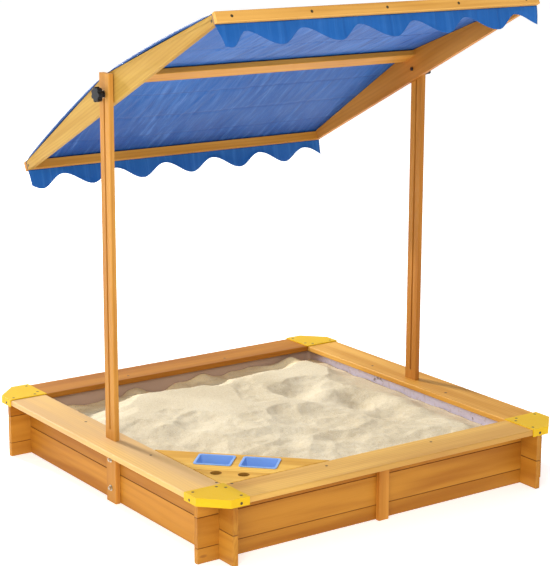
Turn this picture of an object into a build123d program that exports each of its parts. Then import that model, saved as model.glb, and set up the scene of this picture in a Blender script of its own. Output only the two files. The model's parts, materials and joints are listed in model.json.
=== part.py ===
from build123d import *
import os
from math import cos, radians, sin, sqrt

# Square wooden sandbox with a tilting canopy that also comes down as its cover.
# Frame: +X to the right post, +Y to the back, +Z up, origin on the ground in the middle.

# Overall sizes
box_length = 1180.0
box_width = 1180.0
seat_height = 180.0
post_height = 1176.0

# Seats and walls
seat_width = 113.0
seat_thickness = 16.0
seat_edge_round = 3.0
seat_overhang = 74.0
mitre_gap = 1.0
wall_thickness = 15.0
wall_end_inset = 10.0
lap_clearance = 0.4
edge_bevel = 1.5

# Posts and the cleats in the middle of the front and back walls
post_width = 50.0
post_thickness = 15.0
post_clearance = 0.5
slot_width = 7.0
cleat_width = 34.0
cleat_thickness = 15.0

# Corner caps
cap_reach = 3.0
cap_chamfer = 62.0
cap_thickness = 3.0
cap_skirt = 22.0
cap_fit = 0.3

# Mud table in the front left corner
table_leg = 334.0
corner_board_leg = 145.0
table_gap = 1.0
ledger_bearing = 16.0
ledger_height = 18.0
cup_hole_radius = 15.0
cup_hole_spacing = 73.0
cup_hole_distance = 83.0
tub_length = 101.0
tub_width = 82.0
tub_depth = 45.0
tub_rim = 4.0
tub_wall = 2.0
tub_taper = 5.0
tub_corner = 8.0
tub_spacing = 121.0
tub_distance = 181.0
tub_clearance = 1.5

# Ground sheet and sand
liner_thickness = 1.2
liner_gap = 0.5
sand_drop = 62.0
crest_drop = 20.0
sand_gap = 1.5
mound_shift = 60.0
mound_margin = 68.0
mound_flank = 160.0

# Roof
pivot_height = 1122.0
roof_tilt = 26.5
roof_half_length = 545.0
gable_thickness = 14.0
gable_end_height = 25.0
gable_peak_height = 82.0
pivot_above_edge = 30.0
ridge_board_width = 60.0
ridge_board_height = 16.0
end_bar_height = 24.0
end_bar_thickness = 15.0
bar_clearance = 1.0
batten_height = 28.0
batten_thickness = 14.0
canopy_thickness = 1.2
canopy_clearance = 0.2
valance_drop = 58.0
valance_lean = 10.0
valance_gap = 1.0
scallop_pitch = 172.4
scallop_count = 6
scallop_width = 84.0
scallop_height = 37.0
lowered_gap = 1.5

# Fasteners
pivot_bolt_radius = 3.0
bolt_clearance = 0.2
inner_washer_radius = 14.0
inner_washer_thickness = 2.0
outer_washer_radius = 10.0
outer_washer_thickness = 1.6
turning_gap = 0.2
bolt_head_radius = 5.8
bolt_head_height = 4.0
knob_radius = 20.0
knob_lobes = 7
knob_notch_radius = 5.6
knob_notch_shift = 1.7
knob_grip = 14.0
knob_hub_radius = 9.0
knob_hub_length = 11.0
knob_bore_depth = 16.0
post_bolt_radius = 3.0
post_bolt_head = 6.0
post_nut_radius = 5.6
post_nut_height = 5.5
post_nut_dome = 4.5
post_bolt_end_gap = 1.0
post_washer_radius = 8.5
post_washer_thickness = 1.6
screw_radius = 2.0
screw_head_radius = 4.0
screw_head_height = 2.4
screw_clearance = 0.1
screw_tip_gap = 0.5
seat_screw_step = 176.0
seat_screw_length = 45.0
ledger_screw_inset = 6.0
ledger_screw_offset = 22.0
ledger_screw_length = 30.0
table_screw_shift = 60.0
table_screw_length = 26.0
cleat_screw_length = 27.0
cap_screw_length = 13.0
cap_screw_near = 11.0
cap_screw_first = 28.0
cap_screw_edge = 15.0
cap_side_offset = 22.0
cap_side_drop = 11.0
ridge_screw_spacing = 36.0
frame_screw_length = 34.0
batten_screw_count = 5
batten_screw_end = 45.0
batten_screw_length = 26.0

# Places worked out from the sizes above
half_x = box_length / 2
half_y = box_width / 2
inner_x = half_x - seat_width
inner_y = half_y - seat_width
wall_x = half_x - seat_overhang
wall_y = half_y - seat_overhang
wall_height = seat_height - seat_thickness
board_height = wall_height / 2
post_outer_x = wall_x + post_thickness
gable_outer_x = wall_x - inner_washer_thickness - 2 * turning_gap
gable_inner_x = gable_outer_x - gable_thickness
lowered_pivot = seat_height + cap_thickness + lowered_gap + pivot_above_edge
liner_x = wall_x - wall_thickness - liner_gap
liner_y = wall_y - wall_thickness - liner_gap
ledger_x = -liner_x + liner_thickness + liner_gap
ledger_y = -liner_y + liner_thickness + liner_gap
ledger_width = ledger_bearing - inner_x - ledger_x
tilt = radians(roof_tilt)
gable_low = -pivot_above_edge
gable_end_top = gable_low + gable_end_height
gable_peak = gable_low + gable_peak_height
gable_slope = (gable_peak - gable_end_top) / roof_half_length

os.makedirs("parts", exist_ok=True)


def save(piece, name):
    """Label a finished piece and write its STEP file."""
    piece.part.label = name
    export_step(piece.part, f"parts/{name}.step")


def facing(point, direction):
    """A place whose +Z looks along direction."""
    return Plane(origin=point, z_dir=direction).location


def screws(places, length):
    """Countersunk screws whose heads lie flush at the places."""
    with Locations(*places):
        Cone(
            bottom_radius=screw_radius,
            top_radius=screw_head_radius,
            height=screw_head_height,
            align=(Align.CENTER, Align.CENTER, Align.MAX),
        )
        Cylinder(
            radius=screw_radius,
            height=length,
            align=(Align.CENTER, Align.CENTER, Align.MAX),
        )


def screw_holes(places, length):
    """Holes that clear those screws all round."""
    with Locations(*places):
        Cone(
            bottom_radius=screw_radius + screw_clearance,
            top_radius=screw_head_radius + screw_clearance,
            height=screw_head_height,
            align=(Align.CENTER, Align.CENTER, Align.MAX),
            mode=Mode.SUBTRACT,
        )
        Cylinder(
            radius=screw_radius + screw_clearance,
            height=length + screw_tip_gap,
            align=(Align.CENTER, Align.CENTER, Align.MAX),
            mode=Mode.SUBTRACT,
        )


def round_holes(places, radius, length):
    """Plain holes that run down from the places."""
    with Locations(*places):
        Cylinder(
            radius=radius,
            height=length,
            align=(Align.CENTER, Align.CENTER, Align.MAX),
            mode=Mode.SUBTRACT,
        )


# Where the screws and bolts go
side_seat_screws = {
    side: [
        facing((side * (wall_x - wall_thickness / 2), y, seat_height), (0, 0, 1))
        for y in (-seat_screw_step, seat_screw_step)
    ]
    for side in (-1, 1)
}
end_seat_screws = {
    side: [
        facing((x, side * (wall_y - wall_thickness / 2), seat_height), (0, 0, 1))
        for x in (-seat_screw_step, seat_screw_step)
    ]
    for side in (-1, 1)
}

ledger_screw_x = inner_x + ledger_screw_inset
ledger_screw_y = inner_y + ledger_screw_inset
ledger_screws = [
    facing((-ledger_screw_x, -inner_y + ledger_screw_offset, seat_height), (0, 0, 1)),
    facing((-inner_x + ledger_screw_offset, -ledger_screw_y, seat_height), (0, 0, 1)),
]

post_bolt_levels = (board_height / 2, board_height * 3 / 2)
cleat_screw_levels = (board_height / 4, board_height, board_height * 7 / 4)
cleat_screw_places = {
    side: [
        facing((0, side * (wall_y - wall_thickness), z), (0, -side, 0)) for z in cleat_screw_levels
    ]
    for side in (-1, 1)
}

cap_screw_last = seat_width - cap_screw_edge
cap_screw_offsets = (
    (cap_screw_first, cap_screw_near),
    (cap_screw_near, cap_screw_first),
    (cap_screw_last, cap_screw_near),
    (cap_screw_near, cap_screw_last),
)


def cap_screw_places(side_x, side_y):
    """The four screws on top of one corner cap, measured from the seats' inner corner."""
    return [
        facing(
            (side_x * (inner_x + dx), side_y * (inner_y + dy), seat_height + cap_thickness),
            (0, 0, 1),
        )
        for dx, dy in cap_screw_offsets
    ]


def cap_side_places(side_x, side_y):
    """The two screws through one cap's skirt."""
    level = seat_height - cap_side_drop
    return [
        facing(
            (side_x * (half_x + cap_reach), side_y * (inner_y + cap_side_offset), level),
            (side_x, 0, 0),
        ),
        facing(
            (side_x * (inner_x + cap_side_offset), side_y * (half_y + cap_reach), level),
            (0, side_y, 0),
        ),
    ]


corners = [(-1, -1), (1, -1), (-1, 1), (1, 1)]
corner_names = {
    (-1, -1): "front_left",
    (1, -1): "front_right",
    (-1, 1): "back_left",
    (1, 1): "back_right",
}


# Side walls: two full boards each, along Y, notched top and bottom at the crossings
def side_wall_board(side, level):
    with BuildPart() as board:
        with BuildSketch(Plane.XZ.offset(-(half_y - wall_end_inset))):
            with Locations((side * (wall_x - wall_thickness / 2), level + board_height / 2)):
                Rectangle(wall_thickness, board_height)
        extrude(amount=2 * (half_y - wall_end_inset))
        chamfer(board.edges().filter_by(Axis.Y), length=edge_bevel)
        for end in (-1, 1):
            for edge in (level, level + board_height):
                with Locations(
                    (side * (wall_x - wall_thickness / 2), end * (wall_y - wall_thickness / 2), edge)
                ):
                    Box(
                        2 * wall_thickness,
                        wall_thickness + 2 * lap_clearance,
                        board_height / 2,
                        mode=Mode.SUBTRACT,
                    )
        bolt_level = level + board_height / 2
        inside = facing((side * (wall_x - wall_thickness), 0, bolt_level), (-side, 0, 0))
        round_holes([inside], post_bolt_radius + bolt_clearance, wall_thickness)
        with Locations(inside):
            Cone(
                bottom_radius=post_bolt_radius + bolt_clearance,
                top_radius=post_bolt_head + bolt_clearance,
                height=post_bolt_head - post_bolt_radius,
                align=(Align.CENTER, Align.CENTER, Align.MAX),
                mode=Mode.SUBTRACT,
            )
        screw_holes(side_seat_screws[side], seat_screw_length)
    return board


for side, word in ((-1, "left"), (1, "right")):
    save(side_wall_board(side, 0.0), f"{word}_wall_lower")
    save(side_wall_board(side, board_height), f"{word}_wall_upper")


# End walls: a half board, a full board and a half board, along X
def end_wall_board(side, low, high, notch_low, notch_high):
    with BuildPart() as board:
        with BuildSketch(Plane.YZ.offset(-(half_x - wall_end_inset))):
            with Locations((side * (wall_y - wall_thickness / 2), (low + high) / 2)):
                Rectangle(wall_thickness, high - low)
        extrude(amount=2 * (half_x - wall_end_inset))
        chamfer(board.edges().filter_by(Axis.X), length=edge_bevel)
        for end in (-1, 1):
            for edge, wanted in ((low, notch_low), (high, notch_high)):
                if wanted:
                    with Locations(
                        (end * (wall_x - wall_thickness / 2), side * (wall_y - wall_thickness / 2), edge)
                    ):
                        Box(
                            wall_thickness + 2 * lap_clearance,
                            2 * wall_thickness,
                            board_height / 2,
                            mode=Mode.SUBTRACT,
                        )
        screw_holes(cleat_screw_places[side], cleat_screw_length)
        screw_holes(end_seat_screws[side], seat_screw_length)
    return board


for side, word in ((-1, "front"), (1, "back")):
    quarter = board_height / 2
    save(end_wall_board(side, 0.0, quarter, False, True), f"{word}_wall_lower")
    save(
        end_wall_board(side, quarter, quarter + board_height, True, True),
        f"{word}_wall_middle",
    )
    save(
        end_wall_board(side, quarter + board_height, wall_height, True, False),
        f"{word}_wall_upper",
    )


# Seat boards, mitred under the corner caps, with their outer corners cut to the caps' chamfer
def seat_board(along_y, side):
    across = (half_x, inner_x) if along_y else (half_y, inner_y)
    long_half = half_y if along_y else half_x
    with BuildPart() as seat:
        with BuildSketch(Plane.XY.offset(wall_height)):
            out, into = across
            cut = cap_chamfer
            gap = mitre_gap / 2 * sqrt(2)
            profile = [
                (into, long_half - seat_width - gap),
                (out - cut / 2, long_half - cut / 2 - gap),
                (out, long_half - cut),
                (out, -long_half + cut),
                (out - cut / 2, -long_half + cut / 2 + gap),
                (into, -long_half + seat_width + gap),
            ]
            if along_y:
                points = [(side * a, b) for a, b in profile]
            else:
                points = [(b, side * a) for a, b in profile]
            with BuildLine():
                Polyline(*points, close=True)
            make_face()
        extrude(amount=seat_thickness)
        long_edges = seat.edges().filter_by(Axis.Y if along_y else Axis.X)
        fillet(long_edges, radius=seat_edge_round)
        if along_y:
            with BuildSketch(Plane.XY.offset(wall_height)):
                with Locations((side * (wall_x + post_thickness / 2), 0)):
                    Rectangle(
                        post_thickness + 2 * post_clearance, post_width + 2 * post_clearance
                    )
            extrude(amount=seat_thickness, mode=Mode.SUBTRACT)
            screw_holes(side_seat_screws[side], seat_screw_length)
        else:
            screw_holes(end_seat_screws[side], seat_screw_length)
        screw_holes(ledger_screws, ledger_screw_length)
        for side_x, side_y in corners:
            screw_holes(cap_screw_places(side_x, side_y), cap_screw_length)
            screw_holes(cap_side_places(side_x, side_y), cap_screw_length)
    return seat


save(seat_board(True, -1), "left_seat")
save(seat_board(True, 1), "right_seat")
save(seat_board(False, -1), "front_seat")
save(seat_board(False, 1), "back_seat")


# Posts: flat boards on the outside of the side walls, slotted for the roof's bolts
slot_end = slot_width / 2
slot_low = lowered_pivot - pivot_bolt_radius - slot_end
slot_high = pivot_height + slot_end
for side, word in ((-1, "left"), (1, "right")):
    with BuildPart() as post:
        with BuildSketch(Plane.YZ.offset(side * (wall_x + post_thickness / 2))):
            with Locations((0, post_height / 2)):
                Rectangle(post_width, post_height)
        extrude(amount=post_thickness / 2, both=True)
        chamfer(post.edges().filter_by(Axis.Z), length=edge_bevel)
        with BuildSketch(Plane.YZ.offset(side * (wall_x + post_thickness / 2))):
            with Locations((0, (slot_low + slot_high) / 2)):
                SlotOverall(slot_high - slot_low, slot_width, rotation=90)
        extrude(amount=post_thickness, both=True, mode=Mode.SUBTRACT)
        places = [facing((side * post_outer_x, 0, z), (side, 0, 0)) for z in post_bolt_levels]
        round_holes(places, post_bolt_radius + bolt_clearance, post_thickness)
    save(post, f"{word}_post")

# Cleats: upright strips that tie the boards of the front and back walls together
for side, word in ((-1, "front"), (1, "back")):
    with BuildPart() as cleat:
        with BuildSketch(Plane.XY):
            with Locations((0, side * (wall_y + cleat_thickness / 2))):
                Rectangle(cleat_width, cleat_thickness)
        extrude(amount=wall_height)
        chamfer(cleat.edges().filter_by(Axis.Z), length=edge_bevel)
        screw_holes(cleat_screw_places[side], cleat_screw_length)
    save(cleat, f"{word}_cleat")


# Corner caps: a plate over each corner with a skirt round the seats' ends
def corner_outline(side_x, side_y, grow):
    """The chamfered square that a cap covers, its outer sides moved out by grow."""
    near_x = inner_x - cap_reach
    near_y = inner_y - cap_reach
    out_x = half_x + grow
    out_y = half_y + grow
    cut = cap_chamfer + grow * (2 - sqrt(2))
    points = [
        (near_x, near_y),
        (out_x, near_y),
        (out_x, out_y - cut),
        (out_x - cut, out_y),
        (near_x, out_y),
    ]
    return [(side_x * a, side_y * b) for a, b in points]


for corner in corners:
    side_x, side_y = corner
    with BuildPart() as cap:
        with BuildSketch(Plane.XY.offset(seat_height - cap_skirt + cap_thickness)):
            with BuildLine():
                Polyline(*corner_outline(side_x, side_y, cap_reach), close=True)
            make_face()
        extrude(amount=cap_skirt)
        with BuildSketch(Plane.XY.offset(seat_height - cap_skirt)):
            with BuildLine():
                Polyline(*corner_outline(side_x, side_y, cap_fit), close=True)
            make_face()
        extrude(amount=cap_skirt, mode=Mode.SUBTRACT)
        screw_holes(cap_screw_places(side_x, side_y), cap_screw_length)
        screw_holes(cap_side_places(side_x, side_y), cap_screw_length)
    save(cap, f"{corner_names[corner]}_cap")

# Mud table: two boards across the front left corner, on ledgers under the seats
corner_x = -inner_x + table_gap
corner_y = -inner_y + table_gap
diagonal = sqrt(2)


def table_point(along, out):
    """A point on the table: along its front edge, and out from the seats' inner corner."""
    return (-inner_x + (out + along) / diagonal, -inner_y + (out - along) / diagonal)


ledger_end_x = -inner_x + table_leg - 2 * ledger_width
ledger_end_y = -inner_y + table_leg - 2 * ledger_width
table_screw_x = -inner_x + ledger_bearing / 2
table_screw_y = -inner_y + ledger_bearing / 2
table_screw_reach = corner_board_leg + table_screw_shift
table_screw_level = wall_height - ledger_height
table_screws = [
    facing((table_screw_x, -inner_y + corner_board_leg / 2, table_screw_level), (0, 0, -1)),
    facing((table_screw_x, -inner_y + table_screw_reach, table_screw_level), (0, 0, -1)),
    facing((-inner_x + corner_board_leg / 2, table_screw_y, table_screw_level), (0, 0, -1)),
    facing((-inner_x + table_screw_reach, table_screw_y, table_screw_level), (0, 0, -1)),
]

with BuildPart() as table_corner_board:
    with BuildSketch(Plane.XY.offset(wall_height)):
        with BuildLine():
            Polyline(
                (corner_x, corner_y),
                (-inner_x + corner_board_leg, corner_y),
                (corner_x, -inner_y + corner_board_leg),
                close=True,
            )
        make_face()
    extrude(amount=seat_thickness)
    holes = [
        facing((*table_point(side * cup_hole_spacing / 2, cup_hole_distance), seat_height), (0, 0, 1))
        for side in (-1, 1)
    ]
    round_holes(holes, cup_hole_radius, seat_thickness)
    screw_holes(table_screws, table_screw_length)
save(table_corner_board, "table_corner_board")

with BuildPart() as table_tub_board:
    inner_leg = corner_board_leg + table_gap * diagonal
    with BuildSketch(Plane.XY.offset(wall_height)):
        with BuildLine():
            Polyline(
                (-inner_x + inner_leg, corner_y),
                (-inner_x + table_leg, corner_y),
                (corner_x, -inner_y + table_leg),
                (corner_x, -inner_y + inner_leg),
                close=True,
            )
        make_face()
        for side in (-1, 1):
            with Locations(Location((*table_point(side * tub_spacing / 2, tub_distance), 0), (0, 0, -45))):
                RectangleRounded(
                    tub_length - 2 * tub_rim + 2 * tub_clearance,
                    tub_width - 2 * tub_rim + 2 * tub_clearance,
                    tub_corner,
                    mode=Mode.SUBTRACT,
                )
    extrude(amount=seat_thickness)
    screw_holes(table_screws, table_screw_length)
save(table_tub_board, "table_tub_board")

with BuildPart() as table_ledger_left:
    with BuildSketch(Plane.XY.offset(wall_height - ledger_height)):
        with BuildLine():
            Polyline(
                (ledger_x, ledger_y),
                (ledger_x + ledger_width, ledger_y),
                (ledger_x + ledger_width, ledger_end_y),
                (ledger_x, ledger_end_y),
                close=True,
            )
        make_face()
    extrude(amount=ledger_height)
    screw_holes(ledger_screws, ledger_screw_length)
    screw_holes(table_screws, table_screw_length)
save(table_ledger_left, "table_ledger_left")

with BuildPart() as table_ledger_front:
    with BuildSketch(Plane.XY.offset(wall_height - ledger_height)):
        with BuildLine():
            Polyline(
                (ledger_x + ledger_width + table_gap, ledger_y),
                (ledger_end_x, ledger_y),
                (ledger_end_x, ledger_y + ledger_width),
                (ledger_x + ledger_width + table_gap, ledger_y + ledger_width),
                close=True,
            )
        make_face()
    extrude(amount=ledger_height)
    screw_holes(ledger_screws, ledger_screw_length)
    screw_holes(table_screws, table_screw_length)
save(table_ledger_front, "table_ledger_front")

# Tubs: two loose plastic trays that drop into the table and hang by their rims
for side, word in ((-1, "left"), (1, "right")):
    place = Plane(
        origin=(*table_point(side * tub_spacing / 2, tub_distance), seat_height + turning_gap / 2),
        x_dir=(1, -1, 0),
        z_dir=(0, 0, 1),
    )
    body_length = tub_length - 2 * tub_rim
    body_width = tub_width - 2 * tub_rim
    with BuildPart() as tub:
        with BuildSketch(place):
            RectangleRounded(tub_length, tub_width, tub_corner)
        extrude(amount=tub_wall)
        with BuildSketch(place):
            RectangleRounded(body_length, body_width, tub_corner)
        with BuildSketch(place.offset(-tub_depth)):
            RectangleRounded(
                body_length - 2 * tub_taper, body_width - 2 * tub_taper, tub_corner - tub_wall
            )
        loft()
        with BuildSketch(place.offset(tub_wall)):
            RectangleRounded(
                body_length - 2 * tub_wall, body_width - 2 * tub_wall, tub_corner - tub_wall
            )
        with BuildSketch(place.offset(tub_wall - tub_depth)):
            RectangleRounded(
                body_length - 2 * tub_taper - 2 * tub_wall,
                body_width - 2 * tub_taper - 2 * tub_wall,
                tub_corner - 2 * tub_wall,
            )
        loft(mode=Mode.SUBTRACT)
    save(tub, f"{word}_tub")

# Ground sheet: a thin open tray inside the walls, turned up under the seats
with BuildPart() as liner:
    with BuildSketch(Plane.XY.offset(liner_gap)):
        Rectangle(2 * liner_x, 2 * liner_y)
    extrude(amount=wall_height - 2 * liner_gap)
    with BuildSketch(Plane.XY.offset(liner_gap + liner_thickness)):
        Rectangle(2 * (liner_x - liner_thickness), 2 * (liner_y - liner_thickness))
    extrude(amount=wall_height, mode=Mode.SUBTRACT)
save(liner, "ground_sheet")

# Sand: a filled bed with a low mound in the middle
sand_x = liner_x - liner_thickness - sand_gap
sand_y = liner_y - liner_thickness - sand_gap
sand_floor = liner_gap + liner_thickness + liner_gap
sand_level = seat_height - sand_drop
mound_x = 2 * (sand_x - mound_shift - mound_margin)
mound_y = 2 * (sand_y - mound_shift - mound_margin)
with BuildPart() as sand:
    with BuildSketch(Plane.XY.offset(sand_floor)):
        Rectangle(2 * sand_x, 2 * sand_y)
    extrude(amount=sand_level - sand_floor)
    with BuildSketch(Plane.XY.offset(sand_level)):
        with Locations((mound_shift, mound_shift)):
            Rectangle(mound_x, mound_y)
    with BuildSketch(Plane.XY.offset(seat_height - crest_drop)):
        with Locations((mound_shift, mound_shift)):
            Rectangle(mound_x - 2 * mound_flank, mound_y - 2 * mound_flank)
    loft()
save(sand, "sand")


# Roof frame, drawn at the roof's own slope: s runs down towards the back, n stands square to it
def roof_plane(x):
    return Plane(
        origin=(x, 0, pivot_height), x_dir=(0, cos(tilt), -sin(tilt)), z_dir=(1, 0, 0)
    )


def roof_point(x, s, n):
    """A point of the roof in the sandbox's frame."""
    return (x, s * cos(tilt) + n * sin(tilt), pivot_height - s * sin(tilt) + n * cos(tilt))


def roof_direction(s, n):
    """A direction of the roof in the sandbox's frame."""
    return (0, s * cos(tilt) + n * sin(tilt), -s * sin(tilt) + n * cos(tilt))


ridge_top = gable_peak - gable_slope * ridge_board_width / 2 - bar_clearance
ridge_middle = ridge_top - ridge_board_height / 2
ridge_screw_s = ridge_screw_spacing / 2
end_bar_s = roof_half_length - end_bar_thickness / 2
end_bar_n = gable_low + end_bar_height / 2
frame_screw_spots = (
    (-ridge_screw_s, ridge_middle),
    (ridge_screw_s, ridge_middle),
    (-end_bar_s, end_bar_n),
    (end_bar_s, end_bar_n),
)
frame_screws = [
    facing(roof_point(side * gable_outer_x, s, n), (side, 0, 0))
    for side in (-1, 1)
    for s, n in frame_screw_spots
]

batten_face = roof_half_length + canopy_thickness + batten_thickness
batten_screw_n = gable_low + batten_height / 2
batten_screw_step = 2 * (gable_outer_x - batten_screw_end) / (batten_screw_count - 1)
batten_screw_places = {
    end: [
        facing(
            roof_point(
                -gable_outer_x + batten_screw_end + k * batten_screw_step,
                end * batten_face,
                batten_screw_n,
            ),
            roof_direction(end, 0),
        )
        for k in range(batten_screw_count)
    ]
    for end in (-1, 1)
}

for side, word in ((-1, "left"), (1, "right")):
    with BuildPart() as gable:
        with BuildSketch(roof_plane(side * (gable_inner_x + gable_thickness / 2))):
            with BuildLine():
                Polyline(
                    (-roof_half_length, gable_low),
                    (roof_half_length, gable_low),
                    (roof_half_length, gable_end_top),
                    (0, gable_peak),
                    (-roof_half_length, gable_end_top),
                    close=True,
                )
            make_face()
        extrude(amount=gable_thickness / 2, both=True)
        pivot = facing((side * gable_outer_x, 0, pivot_height), (side, 0, 0))
        round_holes([pivot], pivot_bolt_radius + bolt_clearance, gable_thickness)
        screw_holes(frame_screws, frame_screw_length)
    save(gable, f"{word}_gable")

with BuildPart() as ridge_board:
    with BuildSketch(roof_plane(0)):
        with Locations((0, ridge_middle)):
            Rectangle(ridge_board_width, ridge_board_height)
    extrude(amount=gable_inner_x, both=True)
    chamfer(ridge_board.edges().filter_by(Axis.X), length=edge_bevel)
    screw_holes(frame_screws, frame_screw_length)
save(ridge_board, "ridge_board")

for end, word in ((-1, "front"), (1, "back")):
    with BuildPart() as end_bar:
        with BuildSketch(roof_plane(0)):
            with Locations((end * end_bar_s, end_bar_n)):
                Rectangle(end_bar_thickness, end_bar_height)
        extrude(amount=gable_inner_x, both=True)
        screw_holes(frame_screws, frame_screw_length)
        screw_holes(batten_screw_places[end], batten_screw_length)
    save(end_bar, f"{word}_end_bar")

for end, word in ((-1, "front"), (1, "back")):
    with BuildPart() as batten:
        with BuildSketch(roof_plane(0)):
            with Locations((end * (batten_face - batten_thickness / 2), batten_screw_n)):
                Rectangle(batten_thickness, batten_height)
        extrude(amount=gable_outer_x, both=True)
        chamfer(batten.edges().filter_by(Axis.X), length=edge_bevel)
        screw_holes(batten_screw_places[end], batten_screw_length)
    save(batten, f"{word}_batten")

# Canopy: one sheet over the gables, turned down between the end bars and the battens
canopy_eave = gable_end_top + canopy_clearance
canopy_ridge = gable_peak + canopy_clearance
with BuildPart() as canopy:
    with BuildSketch(roof_plane(0)):
        with BuildLine():
            Polyline(
                (-roof_half_length, gable_low),
                (-roof_half_length, canopy_eave),
                (0, canopy_ridge),
                (roof_half_length, canopy_eave),
                (roof_half_length, gable_low),
                (roof_half_length + canopy_thickness, gable_low),
                (roof_half_length + canopy_thickness, canopy_eave + canopy_thickness),
                (0, canopy_ridge + canopy_thickness),
                (-roof_half_length - canopy_thickness, canopy_eave + canopy_thickness),
                (-roof_half_length - canopy_thickness, gable_low),
                close=True,
            )
        make_face()
    extrude(amount=gable_outer_x, both=True)
    for end in (-1, 1):
        screw_holes(batten_screw_places[end], batten_screw_length)
save(canopy, "canopy")

# Valances: scalloped strips of the same sheet that hang below the battens
lean = radians(valance_lean)
for end, word in ((-1, "front"), (1, "back")):
    root = roof_point(0, end * (roof_half_length + canopy_thickness / 2), gable_low - valance_gap)
    hanging = Plane(origin=root, x_dir=(1, 0, 0), z_dir=(0, -cos(lean), sin(lean)))
    with BuildPart() as valance:
        with BuildSketch(hanging):
            with Locations((0, -valance_drop / 2)):
                Rectangle(2 * gable_outer_x, valance_drop)
            with Locations((0, -valance_drop)):
                with GridLocations(scallop_pitch, 1, scallop_count, 1):
                    Ellipse(scallop_width / 2, scallop_height, mode=Mode.SUBTRACT)
        extrude(amount=canopy_thickness / 2, both=True)
    save(valance, f"{word}_valance")

# Pivot bolts: one on each side, from inside the gable out through the post's slot to the knob
inner_washer_x = gable_outer_x + turning_gap
outer_washer_x = post_outer_x + turning_gap
knob_x = outer_washer_x + outer_washer_thickness + turning_gap
bolt_end_x = knob_x + knob_bore_depth - bolt_clearance
with BuildPart() as pivot_bolts:
    for side in (-1, 1):
        with BuildSketch(Plane.YZ.offset(side * (gable_inner_x - turning_gap))):
            with Locations((0, pivot_height)):
                RegularPolygon(bolt_head_radius, 6)
        extrude(amount=-side * bolt_head_height)
        with BuildSketch(Plane.YZ.offset(side * (gable_inner_x - turning_gap))):
            with Locations((0, pivot_height)):
                Circle(pivot_bolt_radius)
        extrude(amount=side * (bolt_end_x - gable_inner_x + turning_gap))
save(pivot_bolts, "pivot_bolts")

for name, radius, start, thickness in (
    ("gable_washers", inner_washer_radius, inner_washer_x, inner_washer_thickness),
    ("knob_washers", outer_washer_radius, outer_washer_x, outer_washer_thickness),
):
    with BuildPart() as washers:
        for side in (-1, 1):
            with BuildSketch(Plane.YZ.offset(side * start)):
                with Locations((0, pivot_height)):
                    Circle(radius)
                    Circle(pivot_bolt_radius + bolt_clearance, mode=Mode.SUBTRACT)
            extrude(amount=side * thickness)
    save(washers, name)

# Clamping knobs: moulded lobed grips on a short hub, screwed on the pivot bolts
for side, word in ((-1, "left"), (1, "right")):
    hub_plane = Plane.YZ.offset(side * knob_x)
    grip_plane = Plane.YZ.offset(side * (knob_x + knob_hub_length))
    with BuildPart() as knob:
        with BuildSketch(grip_plane):
            with Locations((0, pivot_height)):
                Circle(knob_radius)
            with Locations((0, pivot_height)):
                with PolarLocations(knob_radius + knob_notch_shift, knob_lobes):
                    Circle(knob_notch_radius, mode=Mode.SUBTRACT)
        extrude(amount=side * knob_grip)
        with BuildSketch(hub_plane):
            with Locations((0, pivot_height)):
                Circle(knob_hub_radius)
        extrude(amount=side * knob_hub_length)
        with BuildSketch(hub_plane):
            with Locations((0, pivot_height)):
                Circle(pivot_bolt_radius + bolt_clearance / 2)
        extrude(amount=side * knob_bore_depth, mode=Mode.SUBTRACT)
    save(knob, f"{word}_knob")

# Post bolts: countersunk inside the walls, with washers and cap nuts outside the posts
post_bolt_reach = wall_thickness + post_thickness + post_washer_thickness + post_nut_height
inside_places = [
    facing((side * (wall_x - wall_thickness), 0, z), (-side, 0, 0))
    for side in (-1, 1)
    for z in post_bolt_levels
]
with BuildPart() as post_bolts:
    with Locations(*inside_places):
        Cone(
            bottom_radius=post_bolt_radius,
            top_radius=post_bolt_head,
            height=post_bolt_head - post_bolt_radius,
            align=(Align.CENTER, Align.CENTER, Align.MAX),
        )
        Cylinder(
            radius=post_bolt_radius,
            height=post_bolt_reach - post_bolt_end_gap,
            align=(Align.CENTER, Align.CENTER, Align.MAX),
        )
save(post_bolts, "post_bolts")

outside_places = [
    facing((side * post_outer_x, 0, z), (side, 0, 0)) for side in (-1, 1) for z in post_bolt_levels
]
nut_places = [
    facing((side * (post_outer_x + post_washer_thickness), 0, z), (side, 0, 0))
    for side in (-1, 1)
    for z in post_bolt_levels
]
with BuildPart() as post_washers:
    with Locations(*outside_places):
        Cylinder(
            radius=post_washer_radius,
            height=post_washer_thickness,
            align=(Align.CENTER, Align.CENTER, Align.MIN),
        )
        Cylinder(
            radius=post_bolt_radius + bolt_clearance,
            height=post_washer_thickness,
            align=(Align.CENTER, Align.CENTER, Align.MIN),
            mode=Mode.SUBTRACT,
        )
save(post_washers, "post_washers")

with BuildPart() as post_nuts:
    for place in nut_places:
        with BuildSketch(Plane(place)):
            RegularPolygon(post_nut_radius, 6)
        extrude(amount=post_nut_height)
    with Locations(*[place * Location((0, 0, post_nut_height)) for place in nut_places]):
        Sphere(post_nut_dome, arc_size1=0, arc_size2=90)
    with Locations(*nut_places):
        Cylinder(
            radius=post_bolt_radius + screw_clearance,
            height=post_nut_height,
            align=(Align.CENTER, Align.CENTER, Align.MIN),
            mode=Mode.SUBTRACT,
        )
save(post_nuts, "post_nuts")

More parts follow.
